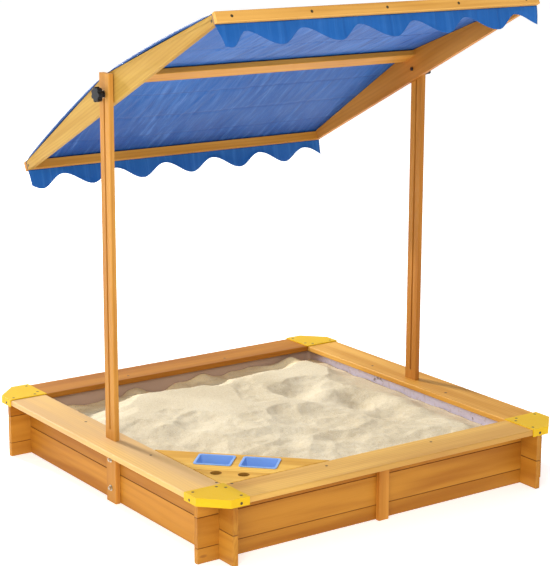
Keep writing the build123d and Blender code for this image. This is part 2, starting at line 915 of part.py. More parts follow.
# Screws, each kind a group of like pieces
every_seat_screw = [p for group in (side_seat_screws, end_seat_screws) for a in (-1, 1) for p in group[a]]
every_cap_screw = [p for a, b in corners for p in cap_screw_places(a, b)]
every_cap_side_screw = [p for a, b in corners for p in cap_side_places(a, b)]
for name, places, length in (
    ("seat_screws", every_seat_screw, seat_screw_length),
    ("ledger_screws", ledger_screws, ledger_screw_length),
    ("table_screws", table_screws, table_screw_length),
    ("cap_screws", every_cap_screw, cap_screw_length),
    ("cap_side_screws", every_cap_side_screw, cap_screw_length),
    ("cleat_screws", cleat_screw_places[-1] + cleat_screw_places[1], cleat_screw_length),
    ("roof_frame_screws", frame_screws, frame_screw_length),
    ("batten_screws", batten_screw_places[-1] + batten_screw_places[1], batten_screw_length),
):
    with BuildPart() as group:
        screws(places, length)
    save(group, name)
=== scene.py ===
import math
import json
import random
import bpy
import bmesh
from mathutils import Matrix, Vector, noise


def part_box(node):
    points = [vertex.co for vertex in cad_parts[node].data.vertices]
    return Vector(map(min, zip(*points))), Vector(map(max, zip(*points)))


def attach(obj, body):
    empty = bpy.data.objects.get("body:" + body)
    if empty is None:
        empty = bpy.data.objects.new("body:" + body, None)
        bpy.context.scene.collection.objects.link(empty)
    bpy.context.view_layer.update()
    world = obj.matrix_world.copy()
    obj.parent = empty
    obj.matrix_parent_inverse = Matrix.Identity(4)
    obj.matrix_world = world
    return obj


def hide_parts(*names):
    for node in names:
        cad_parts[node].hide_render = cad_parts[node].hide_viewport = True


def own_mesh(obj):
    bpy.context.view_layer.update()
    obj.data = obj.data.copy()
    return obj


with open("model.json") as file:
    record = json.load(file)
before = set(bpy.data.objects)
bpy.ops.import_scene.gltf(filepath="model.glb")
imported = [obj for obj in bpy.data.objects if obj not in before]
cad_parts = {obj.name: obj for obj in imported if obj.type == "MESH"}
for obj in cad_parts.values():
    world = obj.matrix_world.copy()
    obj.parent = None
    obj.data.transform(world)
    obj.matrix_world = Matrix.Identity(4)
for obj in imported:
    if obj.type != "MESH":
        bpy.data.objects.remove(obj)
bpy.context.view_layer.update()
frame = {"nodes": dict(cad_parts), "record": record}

# The box boards, seats, posts and cleats: planed fir, chamfered and dipped in honey-coloured
# stain. They are notched over each other and screwed or bolted together. Each board is
# sawn from a log of its own, so each gets a finish with a grain of its own.


class Shade:
    """A socket of a material's node tree that takes part in expressions."""

    def __init__(self, tree, socket=None):
        self.tree = tree
        self.socket = socket

    def node(self, kind, settings=None, sockets=None, out=0):
        """A new node: its settings first, then the values or links of its sockets."""
        made = self.tree.nodes.new(kind)
        for name, value in (settings or {}).items():
            setattr(made, name, value)
        for name, value in (sockets or {}).items():
            if isinstance(value, Shade):
                self.tree.links.new(value.socket, made.inputs[name])
            else:
                made.inputs[name].default_value = value
        return Shade(self.tree, made.outputs[out]) if made.outputs else None

    def coordinates(self, kind="Object"):
        """Where a point of the surface lies, as this kind of texture coordinate."""
        return self.node("ShaderNodeTexCoord", None, None, kind)

    def maths(self, operation, first, second=0.0):
        """Two values put through a sum, a product or the like."""
        return self.node("ShaderNodeMath", {"operation": operation}, {0: first, 1: second})

    def __add__(self, other):
        return self.maths("ADD", self, other)

    def __radd__(self, other):
        return self.maths("ADD", other, self)

    def __sub__(self, other):
        return self.maths("SUBTRACT", self, other)

    def __rsub__(self, other):
        return self.maths("SUBTRACT", other, self)

    def __mul__(self, other):
        return self.maths("MULTIPLY", self, other)

    def __rmul__(self, other):
        return self.maths("MULTIPLY", other, self)

    def __pow__(self, other):
        return self.maths("POWER", self, other)

    def vector(self, operation, other, out=0):
        """This vector and another, put through a vector operation."""
        return self.node("ShaderNodeVectorMath", {"operation": operation}, {0: self, 1: other}, out)

    def split(self):
        """The three parts of a vector."""
        parts = self.tree.nodes.new("ShaderNodeSeparateXYZ")
        self.tree.links.new(self.socket, parts.inputs[0])
        return [Shade(self.tree, part) for part in parts.outputs]

    def mix(self, factor, first, second, mode="MIX"):
        """A colour between two, by a factor."""
        settings = {"data_type": "RGBA", "blend_type": mode}
        return self.node("ShaderNodeMix", settings, {0: factor, 6: first, 7: second}, 2)

    def step(self, low, high):
        """0 below low, 1 above high, and smooth between them."""
        settings = {"interpolation_type": "SMOOTHSTEP"}
        sockets = {"Value": self, "From Min": low, "From Max": high}
        return self.node("ShaderNodeMapRange", settings, sockets)

    def cloud(self, scale, detail=2.0, roughness=0.5):
        """Soft noise over this vector."""
        sockets = {"Vector": self, "Scale": scale, "Detail": detail, "Roughness": roughness}
        return self.node("ShaderNodeTexNoise", None, sockets, "Fac")

    def bump(self, strength, distance):
        """A normal that follows this height."""
        sockets = {"Height": self, "Strength": strength, "Distance": distance}
        return self.node("ShaderNodeBump", None, sockets)


def new_finish(name):
    """An empty material, as the start of its shader expressions."""
    material = bpy.data.materials.new(name)
    material.use_nodes = True
    material.node_tree.nodes.clear()
    return material, Shade(material.node_tree)


def close_finish(start, sockets):
    """Ends a finish in one principled shader with these sockets."""
    shader = start.node("ShaderNodeBsdfPrincipled", None, sockets)
    start.node("ShaderNodeOutputMaterial", None, {"Surface": shader})


def dress(node, material):
    """Gives a CAD node a finish in all its material slots."""
    mesh = frame["nodes"][node].data
    mesh.materials.clear()
    mesh.materials.append(material)


light_stain = (0.55, 0.245, 0.028, 1.0)
deep_stain = (0.40, 0.150, 0.010, 1.0)
late_wood = (0.27, 0.075, 0.006, 1.0)
knot_wood = (0.18, 0.055, 0.010, 1.0)
groove_wood = (0.10, 0.026, 0.004, 1.0)
worn_wood = (0.80, 0.60, 0.345, 1.0)
ring_pitches = (0.007, 0.012)
pith_depths = (0.07, 0.14)
pith_wander = 0.08
ring_jitter = 0.006
knot_heart = 0.012
knot_edge = 0.035
edge_band = 0.035


def stained_board(name, turn, seed, tone, figure=0.30, worn=0.0, grooved=False, bores=()):
    """Stained fir whose grain runs along X once the board is turned by these angles."""
    pick = random.Random(seed)
    material, start = new_finish(name)
    place = start.coordinates()
    offset = (pick.uniform(-3, 3), pick.uniform(-0.02, 0.02), pick.uniform(-0.02, 0.02))
    turned = start.node("ShaderNodeMapping", None, {"Vector": place, "Rotation": turn})
    board = turned.vector("ADD", offset)
    across, deep = board.split()[1:]
    # growth rings round a pith that wanders along the board
    wander = board.vector("MULTIPLY", (0.9, 3.0, 3.0)).cloud(1.0, 1.5)
    pith_across = across + pick.uniform(-0.06, 0.06) + (wander - 0.5) * pith_wander
    pith_deep = deep + pick.choice((-1, 1)) * pick.uniform(*pith_depths)
    radius = (pith_across * pith_across + pith_deep * pith_deep) ** 0.5
    jitter = board.vector("MULTIPLY", (5.0, 40.0, 40.0)).cloud(1.0, 3.0)
    phase = (radius + (jitter - 0.5) * ring_jitter) * (2 * math.pi / pick.uniform(*ring_pitches))
    rings = (start.maths("SINE", phase) * 0.5 + 0.5) ** 2.2
    faded = board.vector("MULTIPLY", (2.0, 14.0, 14.0)).cloud(1.0, 2.0).step(0.35, 0.65)
    rings = rings * (0.35 + faded * 0.65)
    # fine fibres, broad streaks, and a knot here and there
    fibres = board.vector("MULTIPLY", (9.0, 420.0, 420.0)).cloud(1.0, 3.0, 0.65)
    streaks = board.vector("MULTIPLY", (1.2, 15.0, 15.0)).cloud(1.0, 3.0, 0.55)
    cells = board.vector("MULTIPLY", (2.2, 6.0, 6.0))
    sockets = {"Vector": cells, "Scale": 1.0}
    distance = start.node("ShaderNodeTexVoronoi", None, sockets, "Distance")
    knot = 1.0 - distance.step(knot_heart, knot_edge)
    colour = start.mix(streaks.step(0.34, 0.66), light_stain, deep_stain)
    colour = start.mix(rings * figure, colour, late_wood)
    colour = start.mix(fibres.step(0.50, 0.80) * 0.16, colour, late_wood)
    colour = start.mix(knot * 0.5, colour, knot_wood)
    colour = start.mix(1.0, colour, tuple(tone) + (1.0,), "MULTIPLY")
    colour = start.mix(streaks.step(0.2, 0.7) * (0.5 * worn) + 0.5 * worn, colour, worn_wood)
    if grooved:
        # the wall boards are darker along their top and bottom edges, where two boards meet
        up = start.coordinates("Generated").split()[2]
        edge = 1.0 - up.step(0.0, edge_band) + up.step(1.0 - edge_band, 1.0)
        colour = start.mix(edge * 0.8, colour, groove_wood)
    for centre, reach in bores:
        # painted shade on the inside wall of each bore
        level = place.vector("MULTIPLY", (1.0, 1.0, 0.0))
        away = level.vector("DISTANCE", (centre[0], centre[1], 0.0), "Value")
        inside = 1.0 - away.step(reach, reach + 0.0006)
        colour = start.mix(inside * 0.6, colour, groove_wood)
    height = fibres * 0.5 - rings * 0.25 - knot * 0.5
    close_finish(
        start,
        {
            "Base Color": colour,
            "Roughness": 0.46 + fibres * 0.20,
            "Normal": height.bump(0.25, 0.0005),
            "Specular IOR Level": 0.22,
        },
    )
    return material


def board_tone(seed, tone):
    """A board's tint, which is a little lighter or darker than its kind's."""
    depth = random.Random(seed).uniform(0.94, 1.06)
    return [depth * part for part in tone]


along_x = (0.0, 0.0, 0.0)
along_y = (0.0, 0.0, math.pi / 2)
along_z = (0.0, math.pi / 2, 0.0)
box_boards = {
    "left_wall_lower": along_y,
    "left_wall_upper": along_y,
    "right_wall_lower": along_y,
    "right_wall_upper": along_y,
    "front_wall_lower": along_x,
    "front_wall_middle": along_x,
    "front_wall_upper": along_x,
    "back_wall_lower": along_x,
    "back_wall_middle": along_x,
    "back_wall_upper": along_x,
    "left_seat": along_y,
    "right_seat": along_y,
    "front_seat": along_x,
    "back_seat": along_x,
    "left_post": along_z,
    "right_post": along_z,
    "front_cleat": along_z,
    "back_cleat": along_z,
}
# the boards differ in tone: the seats are paler, the back seat and right post deeper
plain_tone = (1.0, 0.98, 0.9)
seat_tone = (1.38, 1.76, 2.9)
worn_seats = {"left_seat": 0.42, "front_seat": 0.12}
box_tones = {
    "left_seat": seat_tone,
    "front_seat": seat_tone,
    "right_seat": (1.45, 1.75, 3.0),
    "back_seat": (0.95, 0.86, 0.7),
    "left_post": (1.15, 1.2, 1.8),
    "right_post": (0.95, 0.90, 1.05),
    "front_cleat": (1.15, 1.12, 1.4),
}
for number, (node, turn) in enumerate(box_boards.items()):
    tone = board_tone(number, box_tones.get(node, plain_tone))
    finish = stained_board(
        "stain_" + node,
        turn,
        number + 1,
        tone,
        worn=worn_seats.get(node, 0.0),
        grooved="_wall_" in node,
    )
    dress(node, finish)

# The ground sheet: pale woven sheeting laid in the box and turned up its walls.
# Its edge ends just under the seats, and its skirt hangs a little slack, with soft folds.
wall_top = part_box("left_wall_upper")[1].z
sheet_low, sheet_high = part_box("ground_sheet")
sheet_floor = sheet_low.z + 0.001
sheet_reach = sheet_high.x - 0.0012
sheet_corner = 0.012
sheet_thickness = 0.0006
sheet_tape = 0.003
skirt_hem = wall_top - 0.002
mean_slack = 0.0035
fold_slack = 0.0035
ripple_slack = 0.0012
skirt_columns = 640
skirt_rows = 14


def grid_object(name, rows, closed=False):
    """A mesh of quads over rows of points, closed round its rows if asked."""
    across = len(rows[0])
    vertices = [point for row in rows for point in row]
    faces = []
    for r in range(len(rows) - 1):
        for c in range(across if closed else across - 1):
            d = (c + 1) % across
            faces.append((r * across + c, r * across + d, (r + 1) * across + d, (r + 1) * across + c))
    mesh = bpy.data.meshes.new(name)
    mesh.from_pydata(vertices, [], faces)
    mesh.polygons.foreach_set("use_smooth", [True] * len(faces))
    piece = bpy.data.objects.new(name, mesh)
    bpy.context.collection.objects.link(piece)
    return piece


def thicken(piece, thickness, offset=0.0, inner_slot=0):
    """Gives a sheet its thickness, its other face in the material slot inner_slot."""
    solid = piece.modifiers.new("thickness", "SOLIDIFY")
    solid.thickness = thickness
    solid.offset = offset
    solid.material_offset = inner_slot


def square_ring(reach, corner, count):
    """Points round a square with rounded corners, with the way out at each."""
    straight = 2 * (reach - corner)
    bend = corner * math.pi / 2
    side = straight + bend
    points = []
    for k in range(count):
        along = k / count * 4 * side
        quarter = int(along // side)
        rest = along - quarter * side
        if rest < straight:
            place, out = Vector((reach, -reach + corner + rest)), Vector((1, 0))
        else:
            angle = (rest - straight) / corner
            out = Vector((math.cos(angle), math.sin(angle)))
            place = Vector((reach - corner, reach - corner)) + out * corner
        turn = Matrix.Rotation(quarter * math.pi / 2, 2)
        points.append((turn @ place, turn @ out))
    return points


ring = square_ring(sheet_reach, sheet_corner, skirt_columns)
skirt = []
for r in range(skirt_rows + 1):
    up = r / skirt_rows
    row = []
    for place, out in ring:
        z = sheet_floor + up * (skirt_hem - sheet_floor)
        fold = noise.noise(Vector((place.x * 9, place.y * 9, z * 5)))
        ripple = noise.noise(Vector((place.x * 34, place.y * 34, z * 8 + 7)))
        slack = mean_slack + fold_slack * fold + ripple_slack * ripple
        slack *= math.sin(math.pi * min(1.0, up * 1.02))
        point = place - out * max(0.0, slack)
        row.append((point.x, point.y, z))
    skirt.append(row)
floor_rows = []
for share in (0.02, 0.25, 0.5, 0.75, 0.9):
    floor_rows.append([(x * share, y * share, sheet_floor) for x, y, z in skirt[0]])
ground_sheet = grid_object("woven_ground_sheet", floor_rows + skirt, closed=True)
thicken(ground_sheet, sheet_thickness)


def woven_sheet(name, base, shadow, dust_and_shade, stain, tape):
    """Flat tapes woven over and under, flecked brown, and brown along the back wall, partly from sand
    and partly as painted shade.
    """
    material, start = new_finish(name)
    place = start.coordinates()
    x, y, z = place.split()
    threads = 2 * math.pi / tape
    warp = start.maths("SINE", x * threads)
    weft = start.maths("SINE", (y + z) * threads)
    tapes = warp * weft
    patches = place.cloud(6.0, 3.0)
    colour = start.mix(patches.step(0.3, 0.7) * 0.35, base, shadow)
    colour = start.mix(tapes.step(-0.2, 1.0) * 0.14, colour, shadow)
    # along the back wall the sheet turns brown: partly sand, partly painted shade under the back seat
    back_dust_and_shade = (y + (patches - 0.5) * 0.2).step(0.36, 0.47)
    specks = place.cloud(70.0, 3.0, 0.6).step(0.52, 0.68)
    colour = start.mix(back_dust_and_shade * 0.85 + (1.0 - back_dust_and_shade) * specks * 0.25, colour, dust_and_shade)
    stains = place.vector("MULTIPLY", (1.0, 1.0, 2.5)).cloud(17.0, 3.0, 0.6).step(0.63, 0.68)
    colour = start.mix((1.0 - back_dust_and_shade) * stains * 0.75, colour, stain)
    creases = place.vector("MULTIPLY", (1.0, 1.0, 1.4)).cloud(24.0, 4.0, 0.6)
    height = tapes * 0.15 + creases
    close_finish(
        start,
        {
            "Base Color": colour,
            "Roughness": 0.62 - patches * 0.12,
            "Normal": height.bump(0.35, 0.0012),
            "Specular IOR Level": 0.3,
        },
    )
    return material


sheet_lilac = (0.76, 0.72, 0.90, 1)
sheet_shade = (0.60, 0.53, 0.62, 1)
brown_dust_and_shade = (0.42, 0.25, 0.12, 1)
brown_stain = (0.126, 0.075, 0.036, 1)
sheeting = woven_sheet("pale_sheeting", sheet_lilac, sheet_shade, brown_dust_and_shade, brown_stain, sheet_tape)
ground_sheet.data.materials.append(sheeting)
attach(ground_sheet, "sandbox")
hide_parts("ground_sheet")

# The sand: fine dry play sand, heaped and scooped by hand into low dunes.
# It lies on the ground sheet, heaped towards the back and lower along the right wall.
sand_low, sand_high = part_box("sand")
sand_reach = sand_high.x - 0.002
sand_rim = 0.146
sand_ceiling = 0.162
sand_under_table = 0.088
sand_back_fall = 0.022
sand_slide = 0.133
heaping = 1.25
dune_height = 0.016
ridge_height = 0.007
scoop_height = 0.0035
lump_height = 0.044
ripple_height = 0.0022
grit_height = 0.0008
sand_cells = 300
# heaps and hollows: how far across, how far back, how wide, how high
mounds = (
    (-0.22, 0.27, 0.12, 0.026),
    (-0.05, 0.26, 0.14, 0.024),
    (0.25, 0.34, 0.12, 0.018),
    (0.42, 0.36, 0.10, 0.022),
    (0.20, 0.18, 0.06, -0.016),
    (0.28, 0.10, 0.05, 0.013),
    (0.325, 0.0, 0.065, -0.019),
    (0.31, -0.15, 0.06, -0.013),
    (0.43, -0.06, 0.08, 0.014),
    (0.10, 0.08, 0.11, 0.010),
    (-0.12, 0.07, 0.11, 0.009),
    (-0.33, 0.10, 0.12, 0.008),
    (-0.10, -0.12, 0.12, 0.007),
    (0.0, -0.31, 0.045, 0.008),
    (0.115, -0.32, 0.04, 0.007),
    (0.05, -0.24, 0.05, -0.008),
    (0.40, -0.34, 0.12, 0.010),
    (-0.42, 0.36, 0.12, -0.022),
)


def smooth(value, low, high):
    """0 below low, 1 above high, and smooth between them."""
    part = min(1.0, max(0.0, (value - low) / (high - low)))
    return part * part * (3 - 2 * part)


def sand_height(x, y):
    """The sand's surface over a point of the box."""
    height = sand_rim - sand_back_fall * smooth(y, 0.30, 0.47)
    for across, back, spread, rise in mounds:
        away = (x - across) ** 2 + (y - back) ** 2
        height += heaping * rise * math.exp(-away / (spread * spread))
    dunes = 1.0 - abs(noise.noise(Vector((x * 4.4 + 3, y * 4.4, 0.3))) * 2)
    height += dune_height * (dunes - 0.6)
    ridges = 1.0 - abs(noise.noise(Vector((x * 8.5 + 1, y * 8.5 + 5, 1.7))) * 2)
    height += ridge_height * (ridges - 0.6)
    height += scoop_height * noise.noise(Vector((x * 17 + 2, y * 17, 3.3)))
    # small lumps were thrown against the back wall
    lumps = max(0.0, noise.noise(Vector((x * 13, y * 8, 2.6))) + 0.12)
    height += lump_height * lumps * smooth(y, 0.41, 0.48)
    height += ripple_height * noise.noise(Vector((x * 34, y * 34, 8.0)))
    height += grit_height * noise.noise(Vector((x * 90, y * 90, 5.0)))
    # it has slid away from the right wall, more towards the front
    kept = sand_slide + 0.008 * y + 0.006 * noise.noise(Vector((x * 6, y * 14, 4.0)))
    height += (min(height, kept) - height) * smooth(x, 0.38, 0.49)
    height = min(height, sand_ceiling)
    # and it drops away under the mud table in the front left corner
    return sand_under_table + (height - sand_under_table) * smooth(x + y, -0.80, -0.64)


sand_rows = []
for r in range(sand_cells + 1):
    y = -sand_reach + 2 * sand_reach * r / sand_cells
    across = [-sand_reach + 2 * sand_reach * c / sand_cells for c in range(sand_cells + 1)]
    sand_rows.append([(x, y, sand_height(x, y)) for x in across])
sand = grid_object("play_sand", sand_rows)
closing = bmesh.new()
closing.from_mesh(sand.data)
rim = [edge for edge in closing.edges if edge.is_boundary]
dropped = bmesh.ops.extrude_edge_only(closing, edges=rim)
for item in dropped["geom"]:
    if isinstance(item, bmesh.types.BMVert):
        item.co.z = sand_low.z
base_edges = [item for item in dropped["geom"] if isinstance(item, bmesh.types.BMEdge)]
bmesh.ops.contextual_create(closing, geom=base_edges)
closing.to_mesh(sand.data)
closing.free()

dry_sand = (0.73, 0.625, 0.425, 1)
damp_sand = (0.63, 0.525, 0.34, 1)
painted_shade_warmth = (0.92, 0.70, 0.36, 1)
pale_grain = (0.88, 0.84, 0.76, 1)
dark_grain = (0.34, 0.26, 0.16, 1)
grains_per_metre = 420.0
material, start = new_finish("fine_sand")
place = start.coordinates()
sockets = {"Vector": place, "Scale": grains_per_metre}
grain_tone = start.node("ShaderNodeTexVoronoi", None, sockets, "Color").split()[0]
damp = place.cloud(5.0, 3.0)
drift = place.cloud(45.0, 3.0, 0.55)
colour = start.mix(damp.step(0.35, 0.68), dry_sand, damp_sand)
# painted light: the strip along the back wall, in the back seat's shade, is tinted warmer and lighter
colour = start.mix(place.split()[1].step(0.37, 0.45) * 0.7, colour, painted_shade_warmth)
colour = start.mix(grain_tone.step(0.75, 1.0) * 0.30, colour, pale_grain)
colour = start.mix((1.0 - grain_tone).step(0.85, 1.0) * 0.35, colour, dark_grain)
height = grain_tone * 0.15 + drift * 0.8
close_finish(
    start,
    {
        "Base Color": colour,
        "Roughness": 0.92,
        "Normal": height.bump(0.5, 0.0016),
        "Specular IOR Level": 0.15,
    },
)
sand.data.materials.append(material)
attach(sand, "sandbox")
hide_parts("sand")

# The mud table: two short boards across the front left corner, on hidden ledgers.
# They are cut from the same stained timber as the seats and lie level with them.
# The corner board has two bored holes, and the other is cut out for the tubs.
along_diagonal = (0.0, 0.0, math.pi / 4)
table_boards = {
    "table_corner_board": along_diagonal,
    "table_tub_board": along_diagonal,
    "table_ledger_left": along_y,
    "table_ledger_front": along_x,
}
table_tone = (1.60, 2.15, 3.3)
table_seed = 41
table_edge = 0.0008
bore_shade_reach = 0.0152
mounts = {mount["name"]: mount for mount in frame["record"]["mounts"]}
holes = [mounts["left_cup_hole"], mounts["right_cup_hole"]]
bored = {"table_corner_board": [(hole["pos_m"], bore_shade_reach) for hole in holes]}


def ease_edges(node, width, segments=2):
    """Rounds a CAD node's sharp edges with modifiers, its own mesh left as it is."""
    piece = frame["nodes"][node]
    weld = piece.modifiers.new("weld", "WELD")
    weld.merge_threshold = 1e-6
    bevel = piece.modifiers.new("eased_edges", "BEVEL")
    bevel.width = width
    bevel.segments = segments
    bevel.limit_method = "ANGLE"
    bevel.angle_limit = math.radians(40)
    bevel.harden_normals = True


for number, (node, turn) in enumerate(table_boards.items()):
    bores = bored.get(node, ())
    dress(node, stained_board("stain_" + node, turn, number + table_seed, table_tone, bores=bores))
    ease_edges(node, table_edge)

# The tubs: two loose blue trays, moulded in one piece with rolled rims.
# They hang by their rims in the table's openings and lift straight out.


def moulded(name, base, shade, roughness):
    """Moulded plastic: an even colour with faint flow marks, scuffs and a fine texture."""
    material, start = new_finish(name)
    place = start.coordinates()
    flow = place.cloud(9.0, 3.0)
    scuffs = place.vector("MULTIPLY", (1.0, 1.0, 0.3)).cloud(180.0, 4.0, 0.7)
    colour = start.mix(flow.step(0.3, 0.75) * 0.5, base, shade)
    height = place.cloud(900.0, 2.0) * 0.4 + scuffs * 0.3
    close_finish(
        start,
        {
            "Base Color": colour,
            "Roughness": roughness + scuffs.step(0.5, 0.8) * 0.18,
            "Normal": height.bump(0.12, 0.0005),
            "Specular IOR Level": 0.22,
        },
    )
    return material


tub_blue = (0.25, 0.43, 0.80, 1)
tub_shade = (0.18, 0.35, 0.72, 1)
tub_edge = 0.0008
tub_finish = moulded("blue_moulding", tub_blue, tub_shade, 0.32)
for node in ("left_tub", "right_tub"):
    dress(node, tub_finish)
    ease_edges(node, tub_edge, 3)

# The corner caps: yellow moulded plates, each with a skirt turned down over the seats' ends.
# Four screws from above and two through the skirt hold each one over its mitre.
cap_yellow = (0.75, 0.46, 0.002, 1)
cap_shade = (0.68, 0.39, 0.002, 1)
cap_edge = 0.0012
cap_finish = moulded("yellow_moulding", cap_yellow, cap_shade, 0.5)
for corner in ("front_left", "front_right", "back_left", "back_right"):
    dress(corner + "_cap", cap_finish)
    ease_edges(corner + "_cap", cap_edge, 3)

# The fasteners: yellow-passivated countersunk screws, and zinc plated bolts with cap nuts.
# All are driven flush, so only their heads show, and the nuts outside the posts.


def metal(name, base, roughness, metallic=1.0):
    """Plated steel with fine turning marks and a dulled, handled surface."""
    material, start = new_finish(name)
    place = start.coordinates()
    dull = place.cloud(120.0, 3.0)
    marks = place.cloud(1500.0, 2.0)
    dulled = tuple(0.55 * part for part in base[:3]) + (1.0,)
    colour = start.mix(dull.step(0.35, 0.8) * 0.5, base, dulled)
    close_finish(
        start,
        {
            "Base Color": colour,
            "Roughness": roughness + dull * 0.15,
            "Metallic": metallic,
            "Normal": marks.bump(0.1, 0.0002),
        },
    )
    return material


screw_brown = (0.11, 0.075, 0.035, 1)
zinc_grey = (0.58, 0.52, 0.40, 1)
bolt_black = (0.02, 0.02, 0.02, 1)
screw_finish = metal("passivated_steel", screw_brown, 0.45, 0.7)
zinc_finish = metal("zinc_plate", zinc_grey, 0.20)
black_finish = metal("blackened_steel", bolt_black, 0.42, 0.6)
for node in frame["nodes"]:
    if node.endswith("_screws"):
        dress(node, screw_finish)
for node in ("post_bolts", "post_nuts", "post_washers", "knob_washers"):
    dress(node, zinc_finish)
dress("pivot_bolts", black_finish)

# The clamping knobs: black lobed mouldings on the ends of the pivot bolts.
# The washers between gable and post are the same black plastic.
knob_black = (0.008, 0.008, 0.009, 1)
knob_scuffed = (0.014, 0.014, 0.016, 1)
knob_edge = 0.0016
knob_finish = moulded("black_moulding", knob_black, knob_scuffed, 0.34)
for node in ("left_knob", "right_knob"):
    dress(node, knob_finish)
    ease_edges(node, knob_edge, 3)
dress("gable_washers", knob_finish)

# The roof frame: two shallow gable boards that hang on the pivot bolts, with a flat ridge board
# and two end bars screwed between them, and a batten over each end to clamp the canopy.
# All of them are of the same stained timber as the box.
behaviour = frame["record"]["behaviour"]
joints = {joint["name"]: joint for joint in behaviour["joints"]}
lift = joints["roof_lift"]
swing = joints["roof_tilt"]
tilt = behaviour["couplings"][0]["ratio"] * lift["range_m"][0]
pivot = Vector(swing["pos_m"])
down_slope = Vector((0, math.cos(tilt), -math.sin(tilt)))
off_slope = Vector((0, math.sin(tilt), math.cos(tilt)))


def roof_point(x, s, n):
    """A place on the roof: x across, s down the slope from the pivot, n square to it."""
    return pivot + Vector((x, 0, 0)) + down_slope * s + off_slope * n


def roof_reach(node):
    """A CAD node's farthest s, and its lowest and highest n, in the roof's own directions."""
    placed = [vertex.co - pivot for vertex in frame["nodes"][node].data.vertices]
    down = [point.dot(down_slope) for point in placed]
    off = [point.dot(off_slope) for point in placed]
    return max(down), min(off), max(off)


down_grain = (tilt, 0.0, math.pi / 2)
roof_boards = {
    "left_gable": down_grain,
    "right_gable": down_grain,
    "ridge_board": along_x,
    "front_end_bar": along_x,
    "back_end_bar": along_x,
    "front_batten": along_x,
    "back_batten": along_x,
}
roof_seed = 70
roof_figure = 0.24
roof_edge = 0.001
bar_tone = (1.32, 1.45, 2.3)
# the right gable's tone is deeper than the left's: painted shade on its inner face
roof_tones = {
    "left_gable": (0.97, 1.32, 2.2),
    "right_gable": (1.15, 1.12, 1.8),
    "front_batten": (1.44, 1.72, 3.4),
}
for number, (node, turn) in enumerate(roof_boards.items()):
    seed = number + roof_seed
    tone = board_tone(seed, roof_tones.get(node, bar_tone))
    dress(node, stained_board("stain_" + node, turn, seed + 1, tone, roof_figure))
    if node.endswith(("_gable", "_bar")):
        ease_edges(node, roof_edge)

# The canopy: one sheet of blue tarpaulin over the gables and the ridge board, hemmed at its
# sides and turned down at both ends, where the battens clamp it. It keeps packing creases.
canopy_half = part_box("canopy")[1].x
gable_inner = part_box("right_gable")[0].x
gable_end, gable_foot, gable_top = roof_reach("left_gable")
cloth = 0.0007
eave = roof_reach("front_end_bar")[2] + 0.001
canopy_columns = 260
slope_rows = 150
flap_rows = 5
flap_gap = 0.002
ridge_rest = 0.03
eave_rest = 0.015
wood_gap = 0.0006
sag_depth = 0.007
hem_lift = 0.0085
hem_turn = (0.0022, 0.0044, 0.0062)
tape_slant = 0.12
streak_height = 0.0026
wrinkle_height = 0.0011
gather_height = 0.0016
gather_line = 0.05
gather_width = 0.16
fold_lines = (-0.42, -0.22, 0.15, 0.29, 0.43)
fold_height = 0.0019
crease_lines = (-0.31, -0.09, 0.13, 0.35)
crease_depth = 0.0017
crease_width = 0.005
crease_wander = 0.012


def slope_line(s):
    """The gables' straight upper edge at s."""
    return gable_top + (eave - gable_top) * abs(s) / gable_end


def crease(place, along, line, layer):
    """A pinched ridge near a line that wanders a little along its way."""
    wander = crease_wander * noise.noise(Vector((along * 2, line, layer)))
    return math.exp(-((place + wander - line) / crease_width) ** 2)


def canopy_height(x, s):
    """How far the sheet stands off the gables' edge line at a place."""
    span = gable_end - ridge_rest - eave_rest
    free = math.sin(math.pi * min(1.0, max(0.0, (abs(s) - ridge_rest) / span)))
    inside = max(0.0, 1.0 - (abs(x) / gable_inner) ** 2.6)
    sag = -sag_depth * free * inside
    edge = max(0.0, (abs(x) - gable_inner) / (canopy_half - gable_inner))
    lift_up = hem_lift * edge ** 1.5 * free ** 0.5 + wood_gap
    lean_x = x + tape_slant * s
    streak = noise.noise(Vector((lean_x * 13, s * 2.2, 2.0)))
    fine = noise.noise(Vector((lean_x * 48, s * 4.5, 6.0)))
    gathered = math.exp(-((abs(s) - gather_line) / gather_width) ** 2)
    wrinkle = streak_height * streak + (wrinkle_height + gather_height * gathered) * fine
    wrinkle *= free * inside ** 0.5
    folds = 0.0
    for line in fold_lines:
        folds += fold_height * crease(s, x, line, 0)
    for line in crease_lines:
        folds -= crease_depth * crease(lean_x, s, line, 3)
    return sag + lift_up + wrinkle + folds * free * inside ** 0.3


canopy_rows = []
flap_top = slope_line(gable_end)
flap_depth = flap_top - flap_gap - gable_foot
for r in range(flap_rows):
    canopy_rows.append((-gable_end - cloth, gable_foot + flap_depth * r / flap_rows, False))
for r in range(slope_rows + 1):
    s = -gable_end + 2 * gable_end * r / slope_rows
    canopy_rows.append((s, slope_line(s), True))
for r in range(flap_rows):
    n = gable_foot + flap_depth * (flap_rows - r - 1) / flap_rows
    canopy_rows.append((gable_end + cloth, n, False))
rows = []
for s, n, free in canopy_rows:
    row = []
    for c in range(canopy_columns + 1):
        x = -canopy_half + 2 * canopy_half * c / canopy_columns
        up = canopy_height(x, s) if free else 0.0
        row.append(roof_point(x, s, n + up + cloth))
    up = canopy_height(canopy_half, s) if free else 0.0
    hem_edge = canopy_half + cloth
    left_hem = [roof_point(-hem_edge, s, n + up - min(up, turn)) for turn in hem_turn]
    right_hem = [roof_point(hem_edge, s, n + up - min(up, turn)) for turn in hem_turn]
    rows.append(left_hem[::-1] + row + right_hem)
canopy = grid_object("tarpaulin_canopy", rows)
thicken(canopy, cloth, 1.0, 1)
tape_width = 0.0032
hem_width = 0.004
hem_shadow = (0.002, 0.030, 0.13, 1)


